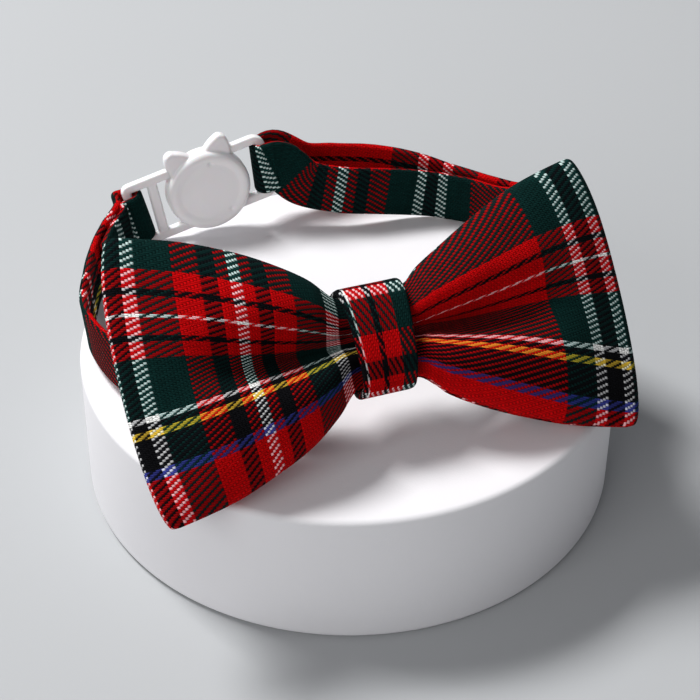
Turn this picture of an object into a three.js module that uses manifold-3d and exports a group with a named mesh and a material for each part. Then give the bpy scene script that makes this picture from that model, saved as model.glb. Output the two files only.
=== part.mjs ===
// Pet bow tie collar, standing on a round display stand. Millimetres, +Z up.
// The origin is the centre of the stand's base; the bow faces -Y.
// A 10 mm strap runs in one length: from its sewn loop on the slide, along the back to the breakaway
// buckle, back through the slide, round the front behind the bow, and to the buckle's other bar.

import * as THREE from 'three';
import { mergeVertices } from 'three/addons/utils/BufferGeometryUtils.js';
import Module from 'manifold-3d';

const wasm = await Module();
wasm.setup();

// ---- driving dimensions -------------------------------------------------------------------------

const GAP = 0.3;                 // clearance between neighbouring pieces

const STAND_RADIUS = 47.5;
const STAND_HEIGHT = 26.5;
const STAND_EDGE = 1.2;          // radius of the stand's rounded rims
const STAND_SEGMENTS = 96;

const STRAP_WIDTH = 10;
const STRAP_THICKNESS = 1.4;
const LAYER_PITCH = STRAP_THICKNESS + GAP;
const STRAP_STEPS = 4;           // steps of the ribbon between two rows of its route
const LOOP_CENTRE = { x: -1, y: 10 };   // the strap's lean is measured towards this point

const BUCKLE = {
  centre: { x: -26.7, y: 33, z: STAND_HEIGHT + 9.6 },
  yaw: 19.3,                     // degrees about +Z
  lean: -6,                      // top leans out of the loop
  roll: 13,                      // the loop end is lifted
  left: -15.3,                   // outer edge of the frame's end bar
  right: 12.5,                   // outer edge of the loop's end bar
  halfHeight: 6.5,
  rail: 1.2,
  bar: 1.4,
  crossbar: -10.1,               // middle of the frame's crossbar
  plate: 1.4,                    // thickness of frame and loop
  discRadius: 8,
  discFront: 2.3,
  discBack: -1.7,
  rimWidth: 1.3,
  shoulder: -3.2,                // right end of the frame's plate, inside the head
  shoulderWidth: 2.2,
  tongueEnd: 4,
  tongueHalfHeight: 3.4,
};
const EAR = {
  tipX: 5, tipY: 9.9, tipRadius: 1, innerAngle: 84, outerAngle: 42, back: -1, front: 1.5,
};
const WRAP_RADIUS = 2;           // centre line of the strap round a buckle bar
const WRAP_CLEAR = 1.9;          // past the bar, where the strap is free to turn
const WRAP_CLEAR_DEPTH = 2.35;

const SLIDE = {
  centre: { x: 39.6, y: 20.5, z: STAND_HEIGHT + 6.9 },
  heading: -72.5,                // degrees, from the back of the loop to its front
  halfLength: 7.2,
  halfHeight: 6.5,
  rail: 1.2,
  bar: 1.4,
  middleBar: 1.2,
  plate: 1.1,
};
const SLIDE_WRAP_RADIUS = 1.7;
const SLIDE_HUMP_RADIUS = SLIDE_WRAP_RADIUS + LAYER_PITCH + 0.05;

const BOW = {
  centre: { x: 4.75, y: -20.95, z: STAND_HEIGHT + 16.6 },
  yaw: 19.7,                     // the right wing stands further back
  tilt: 45,                      // degrees that the bow leans back
  cornerX: 39.0,                 // half width at the corners
  bulge: 2.3,                    // how far the end folds bow out past the corners
  cloth: 1.2,
  columns: 30,                   // steps along one layer
  rows: 14,                      // steps from the lower edge to the upper one
  foldSteps: 3,
};
const BAND = { halfWidth: 5.6, thickness: 1.4, front: 3.7, back: -4.6, halfHeight: 7.8, corner: 2.2 };

// ---- route of the strap, z above the stand's top ------------------------------------------------

// inner layer along the back, from the slide to the buckle's loop
const INNER_BACK = [
  { x: 28.4, y: 32.0, z: 5.6, lean: 0 },
  { x: 22.4, y: 35.4, z: 5.3, lean: 0 },
  { x: 14.4, y: 37.1, z: 5.6, lean: 0 },
  { x: 6.7, y: 36.3, z: 6.6, lean: -2 },
  { x: -1.9, y: 34.9, z: 7.8, lean: -3 },
  { x: -8.8, y: 35.2, z: 9.3, lean: -5 },
];
// outer layer along the back, from the buckle's loop to the slide
const OUTER_BACK = [
  { x: -9.3, y: 40.8, z: 9.2, lean: -5 },
  { x: -3.7, y: 43.0, z: 7.8, lean: -3 },
  { x: 5.0, y: 44.4, z: 6.5, lean: -2 },
  { x: 12.9, y: 43.2, z: 5.7, lean: 0 },
  { x: 18.2, y: 40.7, z: 5.3, lean: 0 },
  { x: 24.4, y: 37.4, z: 5.3, lean: 0 },
  { x: 29.9, y: 34.0, z: 5.6, lean: 0 },
];
// right side and front up to the bow, then the left side up to the buckle's frame
const RIGHT_SIDE = [
  { x: 40.6, y: 5.4, z: 7.2, lean: 6 },
  { x: 33.0, y: -1.4, z: 8.0, lean: 20 },
];
const LEFT_SIDE = [
  { x: -28.2, y: -21.6, z: 8.3, lean: 20 },
  { x: -36.8, y: -17.9, z: 7.0, lean: 5 },
  { x: -42.6, y: -10.8, z: 6.2, lean: -3 },
  { x: -45.6, y: -3.0, z: 5.6, lean: -5 },
  { x: -46.1, y: 5.0, z: 5.3, lean: -5 },
  { x: -45.4, y: 14.0, z: 5.3, lean: -7 },
  { x: -44.2, y: 20.0, z: 5.5, lean: -7 },
  { x: -42.4, y: 25.0, z: 6.2, lean: -6 },
];
// the end sewn back on the inside of the left run
const LEFT_SEWN_END = [
  { x: -40.9, y: 24.0, z: 6.2, lean: -6 },
  { x: -42.5, y: 19.5, z: 5.5, lean: -7 },
  { x: -43.6, y: 13.8, z: 5.3, lean: -7 },
];
// behind the bow: distance along it, depth behind its middle plane
const BEHIND_BOW = [
  { along: 21, depth: 8.4 },
  { along: 12, depth: 4.7 },
  { along: 6, depth: 3.5 },
  { along: -6, depth: 3.5 },
  { along: -12, depth: 4.7 },
  { along: -21, depth: 8.4 },
];
// through the slide, along its length and out of it; the far side mirrors the near side
const SLIDE_PASS = [
  { along: -10, out: -1.8 },
  { along: -8, out: -1.85 },
  { along: -6.6, out: -1.8 },
  { along: -5.3, out: -1.3 },
  { along: -4.1, out: 0.2 },
];

// height of each wing's upper and lower edge against the distance from the bow's middle
const WING_OUTLINE = [
  { at: 0, leftUpper: 7.0, leftLower: 7.0, rightUpper: 7.0, rightLower: 7.0 },
  { at: 6, leftUpper: 7.2, leftLower: 7.2, rightUpper: 7.2, rightLower: 7.2 },
  { at: 10, leftUpper: 11.2, leftLower: 10.8, rightUpper: 10.0, rightLower: 10.8 },
  { at: 15, leftUpper: 14.7, leftLower: 14.4, rightUpper: 12.8, rightLower: 14.0 },
  { at: 21, leftUpper: 18.0, leftLower: 17.2, rightUpper: 16.0, rightLower: 17.0 },
  { at: 30, leftUpper: 21.6, leftLower: 20.4, rightUpper: 20.0, rightLower: 20.6 },
  { at: 45, leftUpper: 25.4, leftLower: 23.2, rightUpper: 23.8, rightLower: 24.4 },
];
// how far the two lobes and the valley between them stand out of the bow's middle plane
const WING_DEPTH = [
  { at: 0, ridge: 2.0, valley: 1.2, back: 1.1 },
  { at: 6, ridge: 2.2, valley: 1.1, back: 1.2 },
  { at: 11, ridge: 5.8, valley: 0.5, back: 1.7 },
  { at: 20, ridge: 7.2, valley: 1.0, back: 3.2 },
  { at: 31, ridge: 5.8, valley: 3.7, back: 3.4 },
  { at: 37, ridge: 3.5, valley: 3.2, back: 2.4 },
  { at: 42, ridge: 1.3, valley: 1.3, back: 1.3 },
];

const VALLEY_WIDTH = 0.27;       // the valley's reach, as a share of the wing's half height

// ---- helpers ------------------------------------------------------------------------------------

const radians = THREE.MathUtils.degToRad;

// value of one column of a table at x, eased between its rows
function lookUp(table, column, x) {
  const last = table.length - 1;
  if (x <= table[0].at) return table[0][column];
  if (x >= table[last].at) return table[last][column];
  const i = table.findIndex((row) => row.at > x) - 1;
  const slope = (k) => {
    const a = table[Math.max(k - 1, 0)];
    const b = table[Math.min(k + 1, last)];
    return (b[column] - a[column]) / (b.at - a.at);
  };
  const span = table[i + 1].at - table[i].at;
  const t = (x - table[i].at) / span;
  const h = t * t * (3 - 2 * t);
  return (1 - h) * table[i][column] + h * table[i + 1][column]
    + t * (1 - t) * span * ((1 - t) * slope(i) - t * slope(i + 1));
}

function placement(centre, xAxis, yAxis, zAxis) {
  const matrix = new THREE.Matrix4().makeBasis(xAxis, yAxis, zAxis);
  return matrix.setPosition(centre.x, centre.y, centre.z);
}

// the buckle's own frame: x along the strap, y up its width, z into the loop
function bucklePlacement() {
  const yaw = radians(BUCKLE.yaw);
  const lean = radians(BUCKLE.lean);
  const roll = radians(BUCKLE.roll);
  const along = new THREE.Vector3(Math.cos(yaw), Math.sin(yaw), 0);
  const inward = new THREE.Vector3(Math.sin(yaw), -Math.cos(yaw), 0);
  const up = new THREE.Vector3(0, 0, Math.cos(lean)).addScaledVector(inward, Math.sin(lean));
  const facing = inward.clone().multiplyScalar(Math.cos(lean));
  facing.z = -Math.sin(lean);
  const x = along.clone().multiplyScalar(Math.cos(roll)).addScaledVector(up, Math.sin(roll));
  const y = up.clone().multiplyScalar(Math.cos(roll)).addScaledVector(along, -Math.sin(roll));
  return placement(BUCKLE.centre, x, y, facing);
}

// the slide's own frame: x towards the front, y out of the loop, z down the strap's width
function slidePlacement() {
  const heading = radians(SLIDE.heading);
  const x = new THREE.Vector3(Math.cos(heading), Math.sin(heading), 0);
  const outward = new THREE.Vector3(-Math.sin(heading), Math.cos(heading), 0);
  return placement(SLIDE.centre, x, outward, new THREE.Vector3(0, 0, 1));
}

// the bow's own frame: x along the wings, y up them, z out of the bow's face
function bowPlacement() {
  const yaw = radians(BOW.yaw);
  const tilt = radians(BOW.tilt);
  const x = new THREE.Vector3(Math.cos(yaw), Math.sin(yaw), 0);
  const back = new THREE.Vector3(-Math.sin(yaw), Math.cos(yaw), 0);
  const y = back.multiplyScalar(Math.sin(tilt)).add(new THREE.Vector3(0, 0, Math.cos(tilt)));
  return placement(BOW.centre, x, y, x.clone().cross(y));
}

const buckleFrame = bucklePlacement();
const slideFrame = slidePlacement();
const bowFrame = bowPlacement();

function toManifold(geometry) {
  const bare = geometry.index ? geometry.clone() : geometry;
  bare.deleteAttribute('normal');
  bare.deleteAttribute('uv');
  const merged = mergeVertices(bare, 1e-4);
  return new wasm.Manifold(new wasm.Mesh({
    numProp: 3,
    vertProperties: new Float32Array(merged.attributes.position.array),
    triVerts: new Uint32Array(merged.index.array),
  }));
}

function toGeometry(solid) {
  const mesh = solid.getMesh();
  const geometry = new THREE.BufferGeometry();
  geometry.setAttribute('position', new THREE.BufferAttribute(mesh.vertProperties, 3));
  geometry.setIndex(new THREE.BufferAttribute(mesh.triVerts, 1));
  geometry.computeVertexNormals();
  return geometry;
}

// a flat shape made into a solid from one height to another
function slab(shape, from, to, curveSegments = 8) {
  const geometry = new THREE.ExtrudeGeometry(shape, {
    depth: to - from, bevelEnabled: false, curveSegments,
  });
  return toManifold(geometry.translate(0, 0, from));
}

// rectangle with its own radius at the left corners and at the right corners
function roundedBox(left, right, bottom, top, leftRadius, rightRadius, Path = THREE.Shape) {
  const path = new Path();
  path.moveTo(left + leftRadius, bottom);
  path.lineTo(right - rightRadius, bottom);
  path.absarc(right - rightRadius, bottom + rightRadius, rightRadius, -Math.PI / 2, 0, false);
  path.lineTo(right, top - rightRadius);
  path.absarc(right - rightRadius, top - rightRadius, rightRadius, 0, Math.PI / 2, false);
  path.lineTo(left + leftRadius, top);
  path.absarc(left + leftRadius, top - leftRadius, leftRadius, Math.PI / 2, Math.PI, false);
  path.lineTo(left, bottom + leftRadius);
  path.absarc(left + leftRadius, bottom + leftRadius, leftRadius, Math.PI, Math.PI * 1.5, false);
  return path;
}

function piece(name, geometry, material, matrix) {
  const mesh = new THREE.Mesh(geometry, material);
  mesh.name = name;
  if (matrix) mesh.applyMatrix4(matrix);
  return mesh;
}

// ---- materials ----------------------------------------------------------------------------------

const tartan = new THREE.MeshStandardMaterial({ color: 0xa3101c, roughness: 0.9, metalness: 0 });
const knotTartan = new THREE.MeshStandardMaterial({ color: 0x8e0d18, roughness: 0.9, metalness: 0 });
const whitePlastic = new THREE.MeshStandardMaterial({ color: 0xf0f1f2, roughness: 0.4, metalness: 0 });
const standWhite = new THREE.MeshStandardMaterial({ color: 0xe9e8ec, roughness: 0.8, metalness: 0 });

// ---- display stand ------------------------------------------------------------------------------

function displayStand() {
  const rim = (x, y, from, to) => {
    const arc = new THREE.EllipseCurve(x, y, STAND_EDGE, STAND_EDGE, from, to);
    return arc.getPoints(4);
  };
  const inside = STAND_RADIUS - STAND_EDGE;
  const profile = [
    new THREE.Vector2(0, 0),
    ...rim(inside, STAND_EDGE, -Math.PI / 2, 0),
    ...rim(inside, STAND_HEIGHT - STAND_EDGE, 0, Math.PI / 2),
    new THREE.Vector2(0, STAND_HEIGHT),
  ];
  return new THREE.LatheGeometry(profile, STAND_SEGMENTS).rotateX(Math.PI / 2);
}

// ---- strap --------------------------------------------------------------------------------------

const route = [];

// one row of the route: a point of the strap's centre line and the direction up its width
function addStation(point, up) {
  route.push({ point, up });
}

function addRows(rows) {
  for (const row of rows) {
    const inward = new THREE.Vector3(LOOP_CENTRE.x - row.x, LOOP_CENTRE.y - row.y, 0).normalize();
    const lean = radians(row.lean);
    const up = inward.multiplyScalar(Math.sin(lean)).add(new THREE.Vector3(0, 0, Math.cos(lean)));
    addStation(new THREE.Vector3(row.x, row.y, STAND_HEIGHT + row.z), up);
  }
}

// a row given in a piece's own frame, with the strap's width along one of its axes
function addLocal(frame, x, y, z, upAxis) {
  const up = new THREE.Vector3().setFromMatrixColumn(frame, upAxis);
  addStation(new THREE.Vector3(x, y, z).applyMatrix4(frame), up);
}

// half a turn round a buckle bar, and square to it until clear of the rails; side is +1 when the
// strap passes the bar on its +x side
function addBarWrap(barX, side, startsInside) {
  const steps = 6;
  const start = startsInside ? 1 : -1;
  addLocal(buckleFrame, barX - side * WRAP_CLEAR, 0, start * WRAP_CLEAR_DEPTH, 1);
  for (let i = 0; i <= steps; i += 1) {
    const turn = Math.PI * (i / steps);
    const z = start * Math.cos(turn) * WRAP_RADIUS;
    addLocal(buckleFrame, barX + side * Math.sin(turn) * WRAP_RADIUS, 0, z, 1);
  }
  addLocal(buckleFrame, barX - side * WRAP_CLEAR, 0, -start * WRAP_CLEAR_DEPTH, 1);
}

// the strap's first end, looped round the slide's middle bar
function addSlideEnd() {
  const steps = 6;
  addLocal(slideFrame, -1.3, SLIDE_WRAP_RADIUS - 0.1, 0, 2);
  for (let i = 0; i <= steps; i += 1) {
    const turn = Math.PI * (0.5 - i / steps);
    addLocal(slideFrame, Math.cos(turn) * SLIDE_WRAP_RADIUS, Math.sin(turn) * SLIDE_WRAP_RADIUS, 0, 2);
  }
  addLocal(slideFrame, -2.2, -2.1, 0, 2);
  addLocal(slideFrame, -4.6, -3.4, 0, 2);
  addLocal(slideFrame, -6.6, -3.6, 0, 2);
  addLocal(slideFrame, -10, -3.55, 0, 2);
}

// the strap passing inside the end bars and over its own loop on the middle bar
function addSlidePass() {
  for (const row of SLIDE_PASS) addLocal(slideFrame, row.along, row.out, 0, 2);
  for (const degrees of [150, 120, 90, 60, 30]) {
    const angle = radians(degrees);
    addLocal(slideFrame, Math.cos(angle) * SLIDE_HUMP_RADIUS, Math.sin(angle) * SLIDE_HUMP_RADIUS, 0, 2);
  }
  for (const row of [...SLIDE_PASS].reverse()) addLocal(slideFrame, -row.along, row.out, 0, 2);
}

function strap() {
  addSlideEnd();
  addRows(INNER_BACK);
  addBarWrap(BUCKLE.right - BUCKLE.bar / 2, -1, true);
  addRows(OUTER_BACK);
  addSlidePass();
  addRows(RIGHT_SIDE);
  for (const row of BEHIND_BOW) addLocal(bowFrame, row.along, 0, -row.depth, 1);
  addRows(LEFT_SIDE);
  addBarWrap(BUCKLE.left + BUCKLE.bar / 2, 1, false);
  addRows(LEFT_SEWN_END);
  return ribbon(route, STRAP_WIDTH, STRAP_THICKNESS, STRAP_STEPS);
}

// a flat band carried along the route: four corners at each step, two closed ends
function ribbon(stations, width, thickness, stepsPerRow) {
  const centre = new THREE.CatmullRomCurve3(stations.map((s) => s.point), false, 'centripetal');
  const upward = new THREE.CatmullRomCurve3(stations.map((s) => s.up), false, 'catmullrom');
  const count = (stations.length - 1) * stepsPerRow;
  const positions = [];
  const indices = [];
  for (let i = 0; i <= count; i += 1) {
    const t = i / count;
    const point = centre.getPoint(t);
    const tangent = centre.getTangent(t);
    const up = upward.getPoint(t);
    up.addScaledVector(tangent, -up.dot(tangent)).normalize();
    const side = tangent.clone().cross(up);
    for (const [across, through] of [[-1, -1], [1, -1], [1, 1], [-1, 1]]) {
      const corner = point.clone()
        .addScaledVector(up, across * width / 2)
        .addScaledVector(side, through * thickness / 2);
      positions.push(corner.x, corner.y, corner.z);
    }
  }
  for (let i = 0; i < count; i += 1) {
    for (let k = 0; k < 4; k += 1) {
      const a = i * 4 + k;
      const b = i * 4 + (k + 1) % 4;
      indices.push(a, b, b + 4, a, b + 4, a + 4);
    }
  }
  const end = count * 4;
  indices.push(0, 2, 1, 0, 3, 2, end, end + 1, end + 2, end, end + 2, end + 3);
  const geometry = new THREE.BufferGeometry();
  geometry.setAttribute('position', new THREE.Float32BufferAttribute(positions, 3));
  geometry.setIndex(indices);
  geometry.computeVertexNormals();
  return geometry;
}

// ---- breakaway buckle ---------------------------------------------------------------------------

// outline of the male half, grown by the slack where the head's slot is cut for it
function maleOutline(slack) {
  const { left, halfHeight, plate, shoulder, tongueEnd, tongueHalfHeight } = BUCKLE;
  const half = plate / 2 + slack;
  const high = halfHeight + slack;
  const tongueHigh = tongueHalfHeight + slack;
  const body = roundedBox(left, shoulder + slack, -high, high, 0.8, 0.4);
  const tongue = roundedBox(shoulder - 1, tongueEnd + slack, -tongueHigh, tongueHigh, 0.2, 1);
  return slab(body, -half, half).add(slab(tongue, -half, half));
}

// plate with a window on each side of its crossbar, its right end and tongue inside the head
function buckleFramePiece() {
  const { left, halfHeight, rail, bar, crossbar, plate, shoulder, shoulderWidth } = BUCKLE;
  const windowHalf = halfHeight - rail;
  const windows = [[left + bar, crossbar - bar / 2], [crossbar + bar / 2, shoulder - shoulderWidth]];
  let solid = maleOutline(0);
  for (const [from, to] of windows) {
    const hole = roundedBox(from, to, -windowHalf, windowHalf, 0.3, 0.3);
    solid = solid.subtract(slab(hole, -plate, plate));
  }
  return solid;
}

// rounded leaf standing on the disc's rim; side is +1 on the right and -1 on the left
function ear(side) {
  const onRim = (degrees) => {
    const angle = radians(degrees);
    return [side * Math.cos(angle) * (BUCKLE.discRadius - 1), Math.sin(angle) * (BUCKLE.discRadius - 1)];
  };
  const [innerX, innerY] = onRim(EAR.innerAngle);
  const [outerX, outerY] = onRim(EAR.outerAngle);
  const tipX = side * EAR.tipX;
  const shape = new THREE.Shape();
  shape.moveTo(innerX, innerY);
  shape.quadraticCurveTo(tipX - side * 3.2, EAR.tipY - 1.6, tipX - side * EAR.tipRadius, EAR.tipY - 0.2);
  shape.quadraticCurveTo(tipX, EAR.tipY + 0.5, tipX + side * EAR.tipRadius, EAR.tipY - 0.6);
  shape.quadraticCurveTo(tipX + side * 1.6, EAR.tipY - 3.2, outerX, outerY);
  shape.closePath();
  return slab(shape, EAR.back, EAR.front, 6);
}

function discBody() {
  const { discRadius, discFront, discBack, rimWidth } = BUCKLE;
  const profile = [
    [0, discBack], [discRadius - 0.8, discBack], [discRadius, discBack + 0.8],
    [discRadius, discFront - 1.5], [discRadius - 0.25, discFront - 0.7],
    [discRadius - 0.8, discFront - 0.15], [discRadius - rimWidth, discFront],
    [discRadius - rimWidth - 0.6, discFront - 0.12], [0, discFront - 0.15],
  ].map(([x, y]) => new THREE.Vector2(x, y));
  return toManifold(new THREE.LatheGeometry(profile, 48).rotateX(Math.PI / 2));
}

function buckleHead() {
  const { right, halfHeight, rail, bar, plate } = BUCKLE;
  const outer = roundedBox(2, right, -halfHeight, halfHeight, 0.2, 2.4);
  const windowHalf = halfHeight - rail;
  const hole = roundedBox(6.5, right - bar, -windowHalf, windowHalf, 0.4, 0.5);
  const loop = slab(outer, -plate / 2, plate / 2).subtract(slab(hole, -plate, plate));
  return loop.add(discBody()).add(ear(1)).add(ear(-1)).subtract(maleOutline(GAP));
}

// ---- slide --------------------------------------------------------------------------------------

function slideAdjuster() {
  const { halfLength, halfHeight, rail, bar, middleBar, plate } = SLIDE;
  const outline = roundedBox(-halfLength, halfLength, -halfHeight, halfHeight, 1.2, 1.2);
  const windowHalf = halfHeight - rail;
  for (const [from, to] of [[-halfLength + bar, -middleBar / 2], [middleBar / 2, halfLength - bar]]) {
    outline.holes.push(roundedBox(from, to, -windowHalf, windowHalf, 0.25, 0.25, THREE.Path));
  }
  return toGeometry(slab(outline, -plate / 2, plate / 2).rotate([90, 0, 0]));
}

// ---- bow ----------------------------------------------------------------------------------------

// point of the front layer (side +1) or the back one (side -1); u runs along the bow from -1 to 1
// and v up it from -1 to 1. Each wing has two lobes with a valley between them on the front.
function wingPoint(u, v, side) {
  const x = u * (BOW.cornerX + BOW.bulge * (1 - v * v));
  const distance = Math.abs(x);
  const wing = (u < 0 ? 'left' : 'right') + (v < 0 ? 'Lower' : 'Upper');
  const y = v * lookUp(WING_OUTLINE, wing, distance);
  const edge = Math.sqrt(Math.max(1 - v * v, 0));
  const valley = Math.exp(-((v / VALLEY_WIDTH) ** 2));
  const ridge = lookUp(WING_DEPTH, 'ridge', distance);
  const front = ridge - (ridge - lookUp(WING_DEPTH, 'valley', distance)) * valley;
  const depth = side > 0 ? front : lookUp(WING_DEPTH, 'back', distance);
  return new THREE.Vector3(x, y, side * (0.85 + (depth - 0.85) * edge));
}

// one turn round the bow at height v: front layer left to right, end fold, back layer, end fold
function wingLoop(v) {
  const points = [];
  const span = (from, to, side) => {
    for (let i = 0; i <= BOW.columns; i += 1) {
      points.push(wingPoint(from + (to - from) * (i / BOW.columns), v, side));
    }
  };
  const fold = (start, end) => {
    const middle = start.clone().add(end).multiplyScalar(0.5);
    const half = start.clone().sub(end).multiplyScalar(0.5);
    const out = new THREE.Vector3(Math.sign(middle.x), 0, 0).multiplyScalar(half.length());
    for (let i = 1; i < BOW.foldSteps; i += 1) {
      const turn = Math.PI * (i / BOW.foldSteps);
      points.push(middle.clone()
        .addScaledVector(half, Math.cos(turn))
        .addScaledVector(out, Math.sin(turn)));
    }
  };
  span(-1, 1, 1);
  fold(wingPoint(1, v, 1), wingPoint(1, v, -1));
  span(1, -1, -1);
  fold(wingPoint(-1, v, -1), wingPoint(-1, v, 1));
  return points;
}

// the loop of cloth as a wall: its middle surface set out and in by half the cloth's thickness
function bowWings() {
  const rows = [];
  for (let j = 0; j <= BOW.rows; j += 1) rows.push(wingLoop(-1 + (2 * j) / BOW.rows));
  const around = rows[0].length;
  const normalAt = (j, i) => {
    const up = rows[Math.min(j + 1, BOW.rows)][i].clone().sub(rows[Math.max(j - 1, 0)][i]);
    const along = rows[j][(i + 1) % around].clone().sub(rows[j][(i + around - 1) % around]);
    return along.cross(up).normalize();
  };
  const positions = [];
  const skins = [BOW.cloth / 2, -BOW.cloth / 2];
  for (const offset of skins) {
    for (let j = 0; j <= BOW.rows; j += 1) {
      for (let i = 0; i < around; i += 1) {
        const p = rows[j][i].clone().addScaledVector(normalAt(j, i), offset);
        positions.push(p.x, p.y, p.z);
      }
    }
  }
  const inner = (BOW.rows + 1) * around;
  const indices = [];
  const quad = (a, b, c, d) => indices.push(a, b, c, a, c, d);
  for (let i = 0; i < around; i += 1) {
    const next = (i + 1) % around;
    for (let j = 0; j < BOW.rows; j += 1) {
      const low = j * around;
      const high = low + around;
      quad(low + i, low + next, high + next, high + i);
      quad(inner + low + next, inner + low + i, inner + high + i, inner + high + next);
    }
    const top = BOW.rows * around;
    quad(inner + i, inner + next, next, i);
    quad(top + i, top + next, inner + top + next, inner + top + i);
  }
  const geometry = new THREE.BufferGeometry();
  geometry.setAttribute('position', new THREE.Float32BufferAttribute(positions, 3));
  geometry.setIndex(indices);
  geometry.computeVertexNormals();
  return geometry;
}

// flat loop of cloth round the middle of the bow and the strap, seen along the bow's length
function bowBand() {
  const { halfWidth, thickness, front, back, halfHeight, corner } = BAND;
  const outline = roundedBox(back - thickness, front + thickness,
    -halfHeight - thickness, halfHeight + thickness, corner + thickness, corner + thickness);
  outline.holes.push(roundedBox(back, front, -halfHeight, halfHeight, corner, corner, THREE.Path));
  const geometry = new THREE.ExtrudeGeometry(outline, {
    depth: 2 * halfWidth, bevelEnabled: false, curveSegments: 6,
  });
  return geometry.translate(0, 0, -halfWidth).rotateY(-Math.PI / 2);
}

// ---- assembly -----------------------------------------------------------------------------------

const collar = new THREE.Group();
collar.name = 'pet_bow_tie_collar';
collar.add(
  piece('display_stand', displayStand(), standWhite),
  piece('strap', strap(), tartan),
  piece('buckle_frame', toGeometry(buckleFramePiece()), whitePlastic, buckleFrame),
  piece('buckle_head', toGeometry(buckleHead()), whitePlastic, buckleFrame),
  piece('slide_adjuster', slideAdjuster(), whitePlastic, slideFrame),
  piece('bow_wings', bowWings(), tartan, bowFrame),
  piece('bow_band', bowBand(), knotTartan, bowFrame),
);

export default collar;
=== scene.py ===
import math

import bmesh
import bpy
import numpy as np
from bpy.props import FloatProperty, FloatVectorProperty, PointerProperty
from mathutils import Matrix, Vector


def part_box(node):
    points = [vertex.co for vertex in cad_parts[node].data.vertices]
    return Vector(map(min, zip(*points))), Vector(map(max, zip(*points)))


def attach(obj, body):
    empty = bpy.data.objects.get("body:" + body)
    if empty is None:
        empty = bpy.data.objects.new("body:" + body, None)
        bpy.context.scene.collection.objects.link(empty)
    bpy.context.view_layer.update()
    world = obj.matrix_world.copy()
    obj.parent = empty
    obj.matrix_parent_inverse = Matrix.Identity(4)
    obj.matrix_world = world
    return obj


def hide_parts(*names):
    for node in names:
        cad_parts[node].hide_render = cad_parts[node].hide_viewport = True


bl_info = {
    "name": "Pet Bow Tie Collar",
    "version": (1, 0, 0),
    "blender": (4, 5, 0),
    "location": "3D View > Sidebar > Collar",
    "description": "A tartan pet collar with a bow, a breakaway buckle and a slide, on a round stand",
    "category": "Add Mesh",
}

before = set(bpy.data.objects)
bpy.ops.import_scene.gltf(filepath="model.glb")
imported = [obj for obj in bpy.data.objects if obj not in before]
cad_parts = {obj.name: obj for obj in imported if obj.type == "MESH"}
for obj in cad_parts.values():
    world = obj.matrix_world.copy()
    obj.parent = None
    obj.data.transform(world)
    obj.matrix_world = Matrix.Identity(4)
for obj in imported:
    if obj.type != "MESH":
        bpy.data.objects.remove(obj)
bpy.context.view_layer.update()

MM = 0.001                       # the shapes below are worked out in millimetres
STAND_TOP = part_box("display_stand")[1].z / MM
STAND_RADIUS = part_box("display_stand")[1].x / MM
CLOTH_UV = "cloth"               # millimetres of cloth: on the cross stripes' sett, then the lengthwise

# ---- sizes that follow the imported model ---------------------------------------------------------

STRAP_WIDTH = 10.0
STRAP_THICKNESS = 1.4
LAYER_PITCH = STRAP_THICKNESS + 0.3
LOOP_CENTRE = np.array([-1.0, 10.0, 0.0])

BUCKLE_CENTRE = (-26.7, 33.0, STAND_TOP + 9.6)
BUCKLE_YAW, BUCKLE_LEAN, BUCKLE_ROLL = (math.radians(angle) for angle in (19.3, -6.0, 13.0))
BUCKLE_LEFT, BUCKLE_RIGHT, BUCKLE_HALF_HEIGHT = -15.3, 12.5, 6.5
BUCKLE_RAIL, BUCKLE_BAR, BUCKLE_PLATE = 1.2, 1.4, 1.4
CROSSBAR = -10.1
SHOULDER = -3.2
TONGUE_END, TONGUE_HALF_HEIGHT = 4.0, 3.4
PIECE_GAP = 0.3
PROUD = 0.28                     # the mouldings' rounded bars stand this far out of the plain ones
WRAP_RADIUS, WRAP_CLEAR, WRAP_CLEAR_DEPTH = 2.0, 1.9, 2.35
LOOP_SKEW = math.radians(9.0)    # the cloth round the loop stands straighter than the loop's bar

SLIDE_CENTRE = (39.6, 20.5, STAND_TOP + 6.9)
SLIDE_HEADING = math.radians(-72.5)
SLIDE_HALF_LENGTH, SLIDE_HALF_HEIGHT = 7.2, 6.5
SLIDE_RAIL, SLIDE_MIDDLE_BAR, SLIDE_PLATE = 1.2, 1.2, 1.1
SLIDE_WRAP_RADIUS = 1.7
SLIDE_HUMP_RADIUS = SLIDE_WRAP_RADIUS + LAYER_PITCH + 0.05

BOW_CENTRE = (4.75, -20.95, STAND_TOP + 16.6)
BOW_YAW, BOW_TILT = math.radians(19.7), math.radians(45.0)
BOW_CORNER, BOW_BULGE, BOW_CLOTH = 39.0, 2.3, 1.2
BOW_MIDDLE = 0.85                # how far each layer's edge stands off the bow's middle plane
BOW_FOLD_RADIUS = 2.0            # what the cloth takes up in the fold at each end
BAND_HALF_WIDTH, BAND_THICKNESS = 5.6, 1.4
BAND_FRONT, BAND_BACK, BAND_HALF_HEIGHT = 3.7, -4.6, 7.8


def table(columns, *rows):
    """The named columns of a short table, as arrays."""
    return dict(zip(columns.split(), np.array(rows, float).T))


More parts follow.
